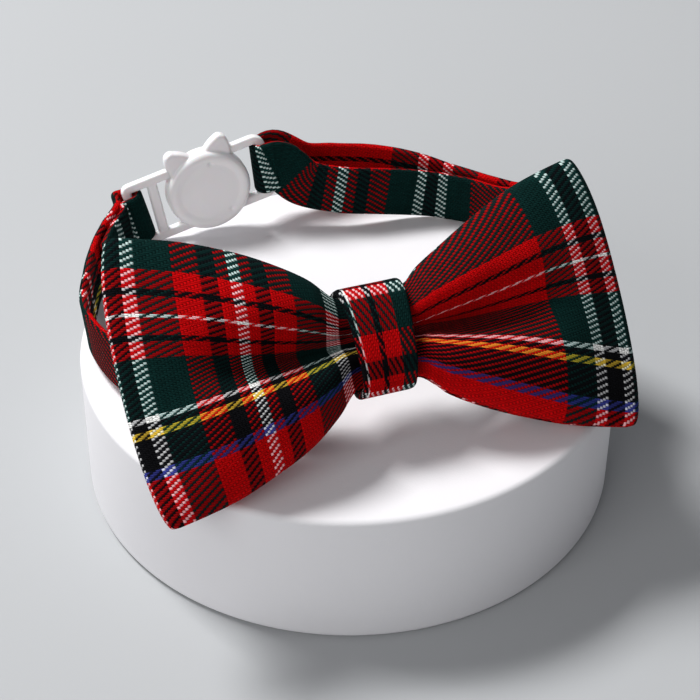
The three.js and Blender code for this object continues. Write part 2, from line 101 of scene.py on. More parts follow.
INNER_BACK = table(
    "x y z lean",
    (28.4, 32.0, 5.6, 0), (22.4, 35.4, 5.3, 0), (14.4, 37.1, 5.6, 0),
    (6.7, 36.3, 6.6, -2), (-1.9, 34.9, 7.8, -3), (-8.8, 35.2, 9.3, -5),
)
OUTER_BACK = table(
    "x y z lean",
    (-9.3, 40.8, 9.2, -5), (-3.7, 43.0, 7.8, -3), (5.0, 44.4, 6.5, -2), (12.9, 43.2, 5.7, 0),
    (18.2, 40.7, 5.3, 0), (24.4, 37.4, 5.3, 0), (29.9, 34.0, 5.6, 0),
)
RIGHT_SIDE = table("x y z lean", (40.6, 5.4, 7.2, 6), (33.0, -1.4, 8.0, 20))
LEFT_SIDE = table(
    "x y z lean",
    (-28.2, -21.6, 8.3, 20), (-36.8, -17.9, 7.0, 5), (-42.6, -10.8, 6.2, -3), (-45.6, -3.0, 5.6, -5),
    (-46.1, 5.0, 5.3, -5), (-45.4, 14.0, 5.3, -7), (-44.2, 20.0, 5.5, -7), (-42.4, 25.0, 6.2, -6),
)
LEFT_SEWN_END = table(
    "x y z lean", (-40.9, 24.0, 6.2, -6), (-42.5, 19.5, 5.5, -7), (-43.6, 13.8, 5.3, -7),
)
BEHIND_BOW = table("along depth", (21, 8.4), (12, 4.7), (6, 3.5), (-6, 3.5), (-12, 4.7), (-21, 8.4))
SLIDE_PASS = table("along out", (-10, -1.8), (-8, -1.85), (-6.6, -1.8), (-5.3, -1.3), (-4.1, 0.2))

# height of each wing's upper and lower edge, and how much the middle of its height is gathered
WING_OUTLINE = table(
    "at left_upper left_lower right_upper right_lower gather",
    (0, 7.0, 7.0, 7.0, 7.0, 0.60), (6, 7.2, 7.2, 7.2, 7.2, 0.60), (10, 11.2, 10.8, 10.0, 10.8, 0.52),
    (15, 14.7, 14.4, 12.8, 14.0, 0.44), (21, 18.0, 17.2, 16.0, 17.0, 0.36),
    (30, 21.6, 20.4, 20.0, 20.6, 0.20), (45, 25.4, 23.2, 23.8, 24.4, 0.0),
)
# how far the two lobes, the valley between them and the back stand off the bow's middle plane
WING_DEPTH = table(
    "at ridge valley back",
    (0, 2.0, 1.2, 1.1), (6, 2.2, 1.1, 1.2), (11, 5.8, 0.5, 1.7), (20, 7.2, 1.0, 3.2),
    (31, 5.8, 3.7, 3.4), (37, 3.5, 3.2, 2.4), (42, 1.3, 1.3, 1.3),
)
VALLEY_WIDTH = 0.27              # the valley's reach, as a share of the wing's half height

# the cloth's two setts, from the pivot of each to its other pivot: width of each stripe and its yarn
WARP_SETT = (
    (1.05, "white"), (2.0, "red"), (3.0, "black"), (4.3, "red"), (5.6, "green"), (2.1, "white"),
    (3.0, "black"), (2.1, "white"), (5.5, "green"), (12.5, "red"),
)
WEFT_SETT = (
    (0.28, "white"), (2.9, "red"), (1.2, "black"), (2.9, "red"), (10.4, "green"), (1.05, "white"),
    (1.25, "black"), (1.5, "yellow"), (5.4, "black"), (1.7, "blue"), (12.0, "red"),
)
STRAP_FIRST_WEFT = 1.7           # where the strap's seam starts on the lengthwise sett
# where the strap lies on the cross sett, by its length past the fold round the buckle's loop
STRAP_WARP = table("at warp", (-75, 67.4), (0, -16.8), (20, -40.8), (60, -80.8), (200, -223.7),
                   (230, -251.2), (260, -281.2))
WING_CLOTH_HALF = 24.0           # half the bow's cut height
WARP_SHOWN = 0.72                # half of what shows of a warp float, in weft threads
# how far the cross stripes lie to the right of their plain place on the left wing
WING_DRIFT = table("at drift", (-42, 2.0), (-25, 1.7), (-9, -1.1), (-5, -0.8), (0, 0))
YARN_BLEED = 0.8                 # how much the thread below tints the one on top
YARN_TINT = 0.2                  # the power that turns the colour below into a pale tint
BOW_WARP = 24.3                  # the cross sett at the middle of the bow's front
# the lengthwise sett's pivot on the bow: its height at the left end and its rise to the middle
BOW_PIVOT, BOW_PIVOT_RISE = 12.4, 3.05
BAND_WARP = -9.8                 # the cross sett at the middle of the band's front

# ---- curves and surfaces ------------------------------------------------------------------------


def eased(rows, column, x):
    """A table's column at x: a cubic through its rows, whose slope at a row is that between the
    rows beside it."""
    at, value = rows["at"], rows[column]
    x = np.clip(x, at[0], at[-1])
    i = np.clip(np.searchsorted(at, x, side="right") - 1, 0, len(at) - 2)
    before = np.maximum(np.arange(len(at)) - 1, 0)
    after = np.minimum(np.arange(len(at)) + 1, len(at) - 1)
    slope = (value[after] - value[before]) / (at[after] - at[before])
    span = at[i + 1] - at[i]
    t = (x - at[i]) / span
    h = t * t * (3 - 2 * t)
    bend = t * (1 - t) * span * ((1 - t) * slope[i] - t * slope[i + 1])
    return (1 - h) * value[i] + h * value[i + 1] + bend


def through(points, t, centripetal):
    """A Catmull-Rom curve: from row floor(t) to the next, a cubic whose end slopes come from the
    rows on both sides. Centripetal weighs them with the square root of the distances."""
    rows = np.vstack([2 * points[0] - points[1], points, 2 * points[-1] - points[-2]])
    i = np.clip(np.floor(t).astype(int), 0, len(points) - 2)
    w = (t - i)[:, None]
    a, b, c, d = (rows[i + k] for k in range(4))

    def knot(p, q):
        if not centripetal:
            return np.ones((len(t), 1))
        return np.linalg.norm(q - p, axis=1, keepdims=True) ** 0.5

    ab, bc, cd = knot(a, b), knot(b, c), knot(c, d)
    start = bc * ((b - a) / ab - (c - a) / (ab + bc) + (c - b) / bc)
    end = bc * ((c - b) / bc - (d - b) / (bc + cd) + (d - c) / cd)
    return b + start * w + (3 * (c - b) - 2 * start - end) * w**2 + (2 * (b - c) + start + end) * w**3


def unit(vectors):
    return vectors / np.linalg.norm(vectors, axis=-1, keepdims=True)


def placement(centre, x, y, z):
    """A piece's own frame as a matrix: its three axes and its origin."""
    matrix = np.eye(4)
    matrix[:3, :3] = np.column_stack([x, y, z])
    matrix[:3, 3] = centre
    return matrix


def placed(points, matrix):
    return points @ matrix[:3, :3].T + matrix[:3, 3]


def buckle_placement():
    """x along the strap, y up its width, z into the loop."""
    along = np.array([math.cos(BUCKLE_YAW), math.sin(BUCKLE_YAW), 0])
    inward = np.array([math.sin(BUCKLE_YAW), -math.cos(BUCKLE_YAW), 0])
    level = np.array([0, 0, 1.0])
    up = level * math.cos(BUCKLE_LEAN) + inward * math.sin(BUCKLE_LEAN)
    facing = inward * math.cos(BUCKLE_LEAN) - level * math.sin(BUCKLE_LEAN)
    x = along * math.cos(BUCKLE_ROLL) + up * math.sin(BUCKLE_ROLL)
    y = up * math.cos(BUCKLE_ROLL) - along * math.sin(BUCKLE_ROLL)
    return placement(BUCKLE_CENTRE, x, y, facing)


def slide_placement():
    """x towards the front, y out of the loop, z down the strap's width."""
    x = (math.cos(SLIDE_HEADING), math.sin(SLIDE_HEADING), 0)
    outward = (-math.sin(SLIDE_HEADING), math.cos(SLIDE_HEADING), 0)
    return placement(SLIDE_CENTRE, x, outward, (0, 0, 1))


def bow_placement():
    """x along the wings, y up them, z out of the bow's face."""
    x = np.array([math.cos(BOW_YAW), math.sin(BOW_YAW), 0])
    back = np.array([-math.sin(BOW_YAW), math.cos(BOW_YAW), 0])
    y = back * math.sin(BOW_TILT) + np.array([0, 0, math.cos(BOW_TILT)])
    return placement(BOW_CENTRE, x, y, np.cross(x, y))


def surface(name, points, uv=None):
    """A mesh from a grid of points: a quad between each four neighbours, then equal points welded,
    which closes seams and poles. points is rows by columns by 3 in millimetres; uv has a pair for
    each of them."""
    rows, columns = points.shape[:2]
    corner = (np.arange(rows - 1)[:, None] * columns + np.arange(columns - 1)).ravel()
    quads = np.stack([corner, corner + 1, corner + columns + 1, corner + columns], axis=1)
    mesh = bpy.data.meshes.new(name)
    mesh.from_pydata((points.reshape(-1, 3) * MM).tolist(), [], quads.tolist())
    if uv is not None:
        layer = mesh.uv_layers.new(name=CLOTH_UV)
        layer.uv.foreach_set("vector", uv.reshape(-1, 2)[quads.ravel()].astype(np.float32).ravel())
    work = bmesh.new()
    work.from_mesh(mesh)
    bmesh.ops.remove_doubles(work, verts=work.verts, dist=MM * 1e-3)
    bmesh.ops.recalc_face_normals(work, faces=work.faces)
    work.to_mesh(mesh)
    work.free()
    mesh.shade_smooth()
    return mesh


def add_piece(name, mesh, material, slot, *nodes):
    """Puts a finished mesh into the scene as a piece that stands for its CAD nodes."""
    piece = bpy.data.objects.new(name, mesh)
    mesh.materials.clear()
    mesh.materials.append(material)
    bpy.context.scene.collection.objects.link(piece)
    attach(piece, "root")
    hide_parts(*nodes)
    return piece


# ---- route of the strap -------------------------------------------------------------------------


class Route:
    """Rows of the strap's centre line, each with the direction up its width."""

    def __init__(self):
        self.points = []
        self.ups = []

    def free(self, rows):
        """Rows in the object's frame. The lean tips the width towards the loop's centre."""
        points = np.stack([rows["x"], rows["y"], rows["z"] + STAND_TOP], axis=1)
        inward = unit((LOOP_CENTRE - points) * (1, 1, 0))
        lean = np.radians(rows["lean"])[:, None]
        self.points += list(points)
        self.ups += list(inward * np.sin(lean) + np.array([0, 0, 1.0]) * np.cos(lean))

    def local(self, matrix, points, up_axis):
        """Rows in a piece's own frame, with the width along one of its axes."""
        self.points += list(placed(np.array(points, float), matrix))
        self.ups += [matrix[:3, up_axis]] * len(points)

    def round_bar(self, matrix, bar, side, starts_inside, skew=0.0):
        """Half a circle round a buckle bar, with a straight step before and after it. The skew turns
        the cloth's width from the bar towards the piece's x."""
        start = 1 if starts_inside else -1
        turn = np.pi * np.arange(7) / 6
        out, depth = side * np.sin(turn), start * np.cos(turn)
        arc = np.stack([bar + out * WRAP_RADIUS, 0 * turn, depth * WRAP_RADIUS], 1)
        first = (bar - side * WRAP_CLEAR, 0, start * WRAP_CLEAR_DEPTH)
        last = (bar - side * WRAP_CLEAR, 0, -start * WRAP_CLEAR_DEPTH)
        rows = placed(np.array([first, *arc, last]), matrix)
        across = matrix[:3, 0] * math.sin(skew) + matrix[:3, 1] * math.cos(skew)
        self.points += list(rows)
        self.ups += [across] * len(rows)

    def slide_end(self, matrix):
        """The first end, looped round the slide's middle bar and led out on its inner side."""
        turn = np.pi * (0.5 - np.arange(7) / 6)
        arc = np.stack([np.cos(turn), np.sin(turn), 0 * turn], 1) * SLIDE_WRAP_RADIUS
        self.local(matrix, [(-1.3, SLIDE_WRAP_RADIUS - 0.1, 0), *arc], 2)
        self.local(matrix, [(-2.2, -2.1, 0), (-4.6, -3.4, 0), (-6.6, -3.6, 0), (-10, -3.55, 0)], 2)

    def slide_pass(self, matrix):
        """Inside the slide's end bars and over the loop on its middle bar."""
        near = np.stack([SLIDE_PASS["along"], SLIDE_PASS["out"], 0 * SLIDE_PASS["out"]], 1)
        turn = np.radians([150, 120, 90, 60, 30])
        hump = np.stack([np.cos(turn), np.sin(turn), 0 * turn], 1) * SLIDE_HUMP_RADIUS
        self.local(matrix, [*near, *hump, *(near[::-1] * (-1, 1, 1))], 2)


def strap_route():
    """The whole route, and the place in it where the strap reaches the buckle's loop."""
    route = Route()
    buckle, slide, bow = buckle_placement(), slide_placement(), bow_placement()
    route.slide_end(slide)
    route.free(INNER_BACK)
    fold = len(route.points) + 1
    route.round_bar(buckle, BUCKLE_RIGHT - BUCKLE_BAR / 2, -1, True, LOOP_SKEW)
    route.free(OUTER_BACK)
    route.slide_pass(slide)
    route.free(RIGHT_SIDE)
    behind = np.stack([BEHIND_BOW["along"], 0 * BEHIND_BOW["depth"], -BEHIND_BOW["depth"]], 1)
    route.local(bow, behind, 1)
    route.free(LEFT_SIDE)
    route.round_bar(buckle, BUCKLE_LEFT + BUCKLE_BAR / 2, 1, False)
    route.free(LEFT_SEWN_END)
    return np.array(route.points), np.array(route.ups), fold


def strap_section(steps_face=9, steps_fold=7):
    """The strap's section as a closed outline: from the seam in the middle of one face, over the
    upper fold, down the plain face, round the lower fold and back to the seam. Each fold is half an
    ellipse, and the seam is a shallow groove."""
    half, thick = STRAP_WIDTH / 2, STRAP_THICKNESS / 2
    flat = half - thick
    turn = np.linspace(np.pi / 2, -np.pi / 2, steps_fold)
    groove = np.array([0, 0.35, 0.8, *np.linspace(1.4, flat, steps_face)[:-1]])
    dip = 0.28 * np.exp(-((groove / 0.4) ** 2))
    upper = np.stack([groove, thick - dip], 1)
    fold = np.stack([flat + thick * np.cos(turn), thick * np.sin(turn)], 1)
    down = np.linspace(flat, -flat, 2 * steps_face)[1:-1]
    plain = np.stack([down, np.full(len(down), -thick)], 1)
    half_outline = np.vstack([upper, fold])
    lower = (half_outline * (-1, 1))[::-1]
    return np.vstack([half_outline, plain, lower])


def strap_surface(step=0.32):
    """The section carried along the route: its first coordinate goes up the strap's width and its
    second one square to it. Slow sines swell it and wave its edges a little. The ends close on their
    middles, with a rounded rim."""
    rows, ups, fold = strap_route()
    fine = np.linspace(0, len(rows) - 1, 40 * len(rows))
    line = through(rows, fine, True)
    length = np.concatenate([[0], np.cumsum(np.linalg.norm(np.diff(line, axis=0), axis=1))])
    at = np.linspace(0, length[-1], int(length[-1] / step))
    t = np.interp(at, length, fine)
    centre = through(rows, t, True)
    tangent = unit(np.gradient(centre, axis=0))
    up = through(ups, t, False)
    up = unit(up - tangent * np.sum(up * tangent, axis=1, keepdims=True))
    side = np.cross(tangent, up)
    outline = strap_section()
    around = np.concatenate([[0], np.cumsum(np.linalg.norm(np.diff(outline, axis=0), axis=1))])
    wave = 0.035 * np.sin(at / 2.7) + 0.025 * np.sin(at / 1.13 + 1)
    swell = 1 + 0.03 * np.sin(at / 3.9)
    across = outline[:, 0] * (1 + 0.012 * np.sin(at / 5.1))[:, None]
    near_edge = (np.abs(outline[:, 0]) / (STRAP_WIDTH / 2)) ** 2
    outwards = outline[:, 1] * swell[:, None] + wave[:, None] * near_edge
    points = centre[:, None] + up[:, None] * across[..., None] + side[:, None] * outwards[..., None]
    warp = np.interp(at - np.interp(fold, fine, length), STRAP_WARP["at"], STRAP_WARP["warp"])
    weft = STRAP_FIRST_WEFT + around
    uv = np.stack(np.broadcast_arrays(warp[:, None], weft[None, :]), axis=-1)
    return closed_ends(points, uv, centre, tangent), length[-1]


def closed_ends(points, uv, centre, tangent):
    """Adds two rings to each end, drawn in to the end's middle, so that the tube is closed."""
    rings, pairs = [points], [uv]
    for end, outward in ((0, -1), (-1, 1)):
        rim = centre[end] + (points[end] - centre[end]) * 0.82 + outward * tangent[end] * 0.25
        pole = np.broadcast_to(centre[end] + outward * tangent[end] * 0.25, rim.shape)
        more = [rim[None], pole[None]] if end else [pole[None], rim[None]]
        rings = rings + more if end else more + rings
        same = np.repeat(uv[end][None], 2, axis=0)
        pairs = pairs + [same] if end else [same] + pairs
    return np.concatenate(rings), np.concatenate(pairs)


# ---- moulded pieces -----------------------------------------------------------------------------


def rounded_box(low, high, radius):
    """A ball of the radius, cut into its eight octants, which are moved apart to the corners of the
    box; the faces between them are flat."""
    low, high = np.array(low, float), np.array(high, float)
    half = (high - low) / 2
    bend = (np.arange(12) + 0.5) / 12 * np.pi - np.pi / 2
    bend = np.concatenate([[-np.pi / 2], bend, [np.pi / 2]])
    turn = (np.arange(25) + 0.5) / 24 * 2 * np.pi
    bend, turn = np.meshgrid(bend, turn, indexing="ij")
    ball = np.stack([np.cos(bend) * np.cos(turn), np.cos(bend) * np.sin(turn), np.sin(bend)], -1)
    ball[[0, -1], :, :2] = 0
    corner = np.where(np.abs(ball) > 1e-6, np.sign(ball), 0)
    radius = min(radius, half.min() * 0.98)
    return (low + high) / 2 + corner * (half - radius) + ball * radius


def sheared(points, slant):
    """x moved by slant times y, for a bar that leans."""
    return np.stack([points[..., 0] + slant * points[..., 1], points[..., 1], points[..., 2]], -1)


def raised(flat, height):
    """Points from a grid of pairs and their heights."""
    return np.concatenate([flat, np.broadcast_to(height, flat.shape[:2] + (1,))], axis=-1)


def ring(left, right, half_height, corner, width, thickness, steps=10):
    """A rounded rectangle's centre line with a rounded section carried along it: the section is the
    curve whose fourth powers of width and thickness add to one."""
    inner = width / 2
    corners = (
        (right, half_height, 0), (left, half_height, 90),
        (left, -half_height, 180), (right, -half_height, 270),
    )
    path, normal = [], []
    for x, y, first in corners:
        turn = np.radians(first + np.linspace(0, 90, steps))
        direction = np.stack([np.cos(turn), np.sin(turn)], 1)
        radius = corner - inner
        inset_x = math.copysign(corner, x - (left + right) / 2)
        middle = np.array([x - inset_x, y - math.copysign(corner, y)])
        path.append(middle + direction * radius)
        normal.append(direction)
    path, normal = np.vstack(path), np.vstack(normal)
    path, normal = np.vstack([path, path[:1]]), np.vstack([normal, normal[:1]])
    turn = np.linspace(0, 2 * np.pi, 25)
    wide = np.sign(np.cos(turn)) * np.abs(np.cos(turn)) ** 0.5 * inner
    high = np.sign(np.sin(turn)) * np.abs(np.sin(turn)) ** 0.5 * thickness / 2
    return raised(path[:, None] + normal[:, None] * wide[None, :, None], high[None, :, None])


def revolved(profile, steps=144):
    """A profile of radii and heights turned once round the z axis; it starts and ends on the axis."""
    turn = np.linspace(0, 2 * np.pi, steps + 1)
    radius, height = profile[:, 0][:, None], profile[:, 1][:, None]
    return np.stack([radius * np.cos(turn), radius * np.sin(turn), height + 0 * turn], -1)


def arc(x, y, radius, start, end, steps=9):
    """Points of a circle's arc between two angles in degrees."""
    turn = np.radians(np.linspace(start, end, steps))
    return np.stack([x + radius * np.cos(turn), y + radius * np.sin(turn)], 1)


DISC_RADIUS, DISC_FRONT, DISC_BACK = 8.0, 2.3, -1.7
DISC_RIM, DISC_STEP, DISC_SLOPE = 1.3, 0.22, 1.3
DIMPLES, DIMPLE_RADIUS, DIMPLE_DEPTH = ((1.6, 5.5), (2.9, -5.2)), 0.4, 0.32


def disc_surface():
    """The buckle's round head: a revolved profile with a rounded side, a raised rim and a flat face,
    and two small dimples that are bell curves deep."""
    flat = DISC_RADIUS - DISC_RIM - DISC_SLOPE
    face = np.stack([np.linspace(flat, 0, 28), np.full(28, DISC_FRONT - DISC_STEP)], 1)
    slope = np.linspace(0, 1, 7)[1:-1]
    step = np.stack([DISC_RADIUS - DISC_RIM - DISC_SLOPE * slope,
                     DISC_FRONT - DISC_STEP * (slope**2 * (3 - 2 * slope))], 1)
    profile = np.vstack([
        [[0, DISC_BACK]],
        arc(DISC_RADIUS - 0.9, DISC_BACK + 0.9, 0.9, -90, 0),
        arc(DISC_RADIUS - 1.2, DISC_FRONT - 1.2, 1.2, 0, 90),
        step, face,
    ])
    points = revolved(profile)
    for x, y in DIMPLES:
        away = (points[..., 0] - x) ** 2 + (points[..., 1] - y) ** 2
        dent = DIMPLE_DEPTH * np.exp(-away / DIMPLE_RADIUS**2)
        points[..., 2] -= np.where(points[..., 2] > 0, dent, 0)
    return points


EAR_TIP_X, EAR_TIP_Y, EAR_TIP_RADIUS = 5.0, 9.9, 1.0
EAR_BACK, EAR_FRONT, EAR_EDGE, EAR_CROWN = -0.8, 1.3, 0.6, 0.12


def bezier(a, b, c, steps=10):
    """A quadratic curve from a to c that leans towards b."""
    t = np.linspace(0, 1, steps)[:, None]
    return (1 - t) ** 2 * np.array(a) + 2 * t * (1 - t) * np.array(b) + t**2 * np.array(c)


def ear_surface(side):
    """A rounded leaf: its outline set in by a quarter circle along the back rim and the front rim,
    closed on its middle at both ends. side is +1 on the right and -1 on the left."""
    inner, outer = arc(0, 0, DISC_RADIUS - 1.4, 88, 34, 2)
    crest_in = (EAR_TIP_X - EAR_TIP_RADIUS, EAR_TIP_Y - 0.2)
    crest_out = (EAR_TIP_X + EAR_TIP_RADIUS, EAR_TIP_Y - 0.6)
    outline = np.vstack([
        bezier(inner, (EAR_TIP_X - 3.0, EAR_TIP_Y - 0.9), crest_in),
        bezier(crest_in, (EAR_TIP_X, EAR_TIP_Y + 0.5), crest_out, 7)[1:],
        bezier(crest_out, (EAR_TIP_X + 2.0, EAR_TIP_Y - 2.8), outer)[1:],
        bezier(outer, (2.6, 3.2), inner)[1:],
    ]) * (side, 1)
    middle = outline.mean(axis=0)
    ahead = unit(np.roll(outline[:-1], -1, axis=0) - np.roll(outline[:-1], 1, axis=0))
    ahead = np.vstack([ahead, ahead[:1]])
    inward = np.stack([ahead[:, 1], -ahead[:, 0]], 1)
    inward *= np.sign(np.sum(inward * (middle - outline), axis=1).sum())
    turn = np.linspace(0, np.pi / 2, 6)
    inset = EAR_EDGE * np.concatenate([1 - np.sin(turn), 1 - np.cos(turn)])
    height = np.concatenate([EAR_BACK + EAR_EDGE * (1 - np.cos(turn)),
                             EAR_FRONT - EAR_EDGE * (1 - np.sin(turn))])
    flat = outline[None] + inward[None] * inset[:, None, None]
    walls = raised(flat, height[:, None, None])
    pole = np.broadcast_to([*middle, 0], walls[:1].shape)
    return np.concatenate([pole + [0, 0, EAR_BACK], walls, pole + [0, 0, EAR_FRONT + EAR_CROWN]])


def fused(name, shells, matrix, voxel, cutter=None):
    """One moulded body from overlapping shells: they are rebuilt as one skin, softened, cut where
    another piece slides in, and put in place."""
    parts = [surface(name, shell) for shell in shells]
    joined = bmesh.new()
    for part in parts:
        joined.from_mesh(part)
        bpy.data.meshes.remove(part)
    mesh = bpy.data.meshes.new(name)
    joined.to_mesh(mesh)
    joined.free()
    body = bpy.data.objects.new(name, mesh)
    bpy.context.scene.collection.objects.link(body)
    skin = body.modifiers.new("skin", "REMESH")
    skin.mode = "VOXEL"
    skin.voxel_size = voxel * MM
    soften = body.modifiers.new("soften", "SMOOTH")
    soften.factor, soften.iterations = 0.5, 5
    tool = None
    if cutter is not None:
        tool = bpy.data.objects.new(name + "_slot", surface(name + "_slot", cutter))
        bpy.context.scene.collection.objects.link(tool)
        cut = body.modifiers.new("slot", "BOOLEAN")
        cut.operation = "DIFFERENCE"
        cut.solver = "EXACT"
        cut.object = tool
    bpy.context.view_layer.update()
    depsgraph = bpy.context.evaluated_depsgraph_get()
    result = bpy.data.meshes.new_from_object(body.evaluated_get(depsgraph))
    for spent in (body, tool):
        if spent is not None:
            old = spent.data
            bpy.data.objects.remove(spent)
            bpy.data.meshes.remove(old)
    place = matrix.copy()
    place[:3, 3] *= MM
    result.transform(Matrix(place.tolist()))
    result.shade_smooth()
    return result


def male_half_shells():
    """The frame half: end bar, rails, a crossbar that leans, and the shoulder and tongue that go
    into the head."""
    high, half = BUCKLE_HALF_HEIGHT, BUCKLE_PLATE / 2
    window_right = SHOULDER - 2.2

    def bar(left, right, low, top):
        return rounded_box((left, low, -half), (right, top, half), 0.45)

    return [
        ring(BUCKLE_LEFT - PROUD, SHOULDER, high + PROUD, 1.5, BUCKLE_RAIL + 2 * PROUD,
             BUCKLE_PLATE + PROUD),
        sheared(bar(CROSSBAR - 1, CROSSBAR + 1, -high + 0.4, high - 0.4), 0.07),
        bar(window_right, SHOULDER, -high + 0.1, high - 0.1),
        bar(SHOULDER - 1, TONGUE_END, -TONGUE_HALF_HEIGHT, TONGUE_HALF_HEIGHT),
    ]


def head_shells():
    """The loop half: the round head with its ears, and the loop that the strap goes round."""
    loop = ring(0.5, BUCKLE_RIGHT + PROUD, BUCKLE_HALF_HEIGHT + PROUD, 2.5, BUCKLE_RAIL + 2 * PROUD,
                BUCKLE_PLATE + PROUD)
    web = rounded_box((2, -BUCKLE_HALF_HEIGHT + 0.2, -BUCKLE_PLATE / 2),
                      (6.5, BUCKLE_HALF_HEIGHT - 0.2, BUCKLE_PLATE / 2), 0.4)
    return [disc_surface(), ear_surface(1), ear_surface(-1), loop, web]


def head_slot():
    """The room that the frame half's shoulder and tongue need inside the head."""
    high = BUCKLE_HALF_HEIGHT + PIECE_GAP
    half = BUCKLE_PLATE / 2 + PIECE_GAP
    return rounded_box((-DISC_RADIUS - 2, -high, -half), (TONGUE_END + PIECE_GAP, high, half), 0.3)


def slide_shells():
    """The slide: a rounded ring and its middle bar, modelled flat and then stood on edge."""
    half = SLIDE_PLATE / 2
    outline = ring(-SLIDE_HALF_LENGTH, SLIDE_HALF_LENGTH, SLIDE_HALF_HEIGHT, 1.5, SLIDE_RAIL + 0.5,
                   SLIDE_PLATE + 0.4)
    middle = rounded_box((-SLIDE_MIDDLE_BAR / 2, -SLIDE_HALF_HEIGHT + 0.4, -half),
                         (SLIDE_MIDDLE_BAR / 2, SLIDE_HALF_HEIGHT - 0.4, half), 0.45)
    upright = np.array([[1, 0, 0], [0, 0, -1], [0, 1, 0]], float)
    return [shell @ upright.T for shell in (outline, middle)]


def stand_surface():
    """The stand: a revolved rectangle with rounded rims."""
    edge = 1.2
    profile = np.vstack([
        [[0, 0]],
        arc(STAND_RADIUS - edge, edge, edge, -90, 0),
        arc(STAND_RADIUS - edge, STAND_TOP - edge, edge, 0, 90),
        np.stack([np.linspace(STAND_RADIUS - edge - 2, 0, 12), np.full(12, STAND_TOP)], 1),
    ])
    return revolved(profile, 288)


# ---- bow ----------------------------------------------------------------------------------------


def wing_surface(u, w, side):
    """The middle surface of the front layer (side 1) or the back one (side -1). u runs along the bow
    and w up its cloth, both from -1 to 1. The height is the wing's outline times w, drawn together
    in the middle near the knot; the depth has two lobes and a valley that is a bell curve of w. Low
    waves lie on it, and short pleats that fade out of the knot."""
    distance = np.abs(u) * BOW_CORNER
    gather = eased(WING_OUTLINE, "gather", distance)
    v = w * (1 - gather * (1 - w**2) ** 1.5)
    x = u * (BOW_CORNER + BOW_BULGE * (1 - v**2))
    distance = np.abs(x)
    wing = np.where(u < 0, 0, 2) + np.where(w < 0, 1, 0)
    columns = ("left_upper", "left_lower", "right_upper", "right_lower")
    height = np.choose(wing, [eased(WING_OUTLINE, name, distance) for name in columns])
    edge = np.sqrt(np.maximum(1 - v**2, 0))
    valley = np.exp(-((v / VALLEY_WIDTH) ** 2))
    ridge = eased(WING_DEPTH, "ridge", distance)
    front = ridge - (ridge - eased(WING_DEPTH, "valley", distance)) * valley
    depth = np.where(side > 0, front, eased(WING_DEPTH, "back", distance))
    near = np.exp(-(((distance - 9) / 6.5) ** 2))
    pleats = 0.42 * near * np.sin(9.5 * w + 1.1 * u + np.where(u < 0, 0.4, 1.3)) * edge
    waves = 0.16 * np.sin(distance * 0.31 + 3.1 * w) + 0.10 * np.sin(distance * 0.55 - 4.3 * w + 1.7)
    waves = waves * edge
    z = side * (BOW_MIDDLE + (depth - BOW_MIDDLE) * edge + pleats + waves)
    return np.stack([x, v * height, z], -1)


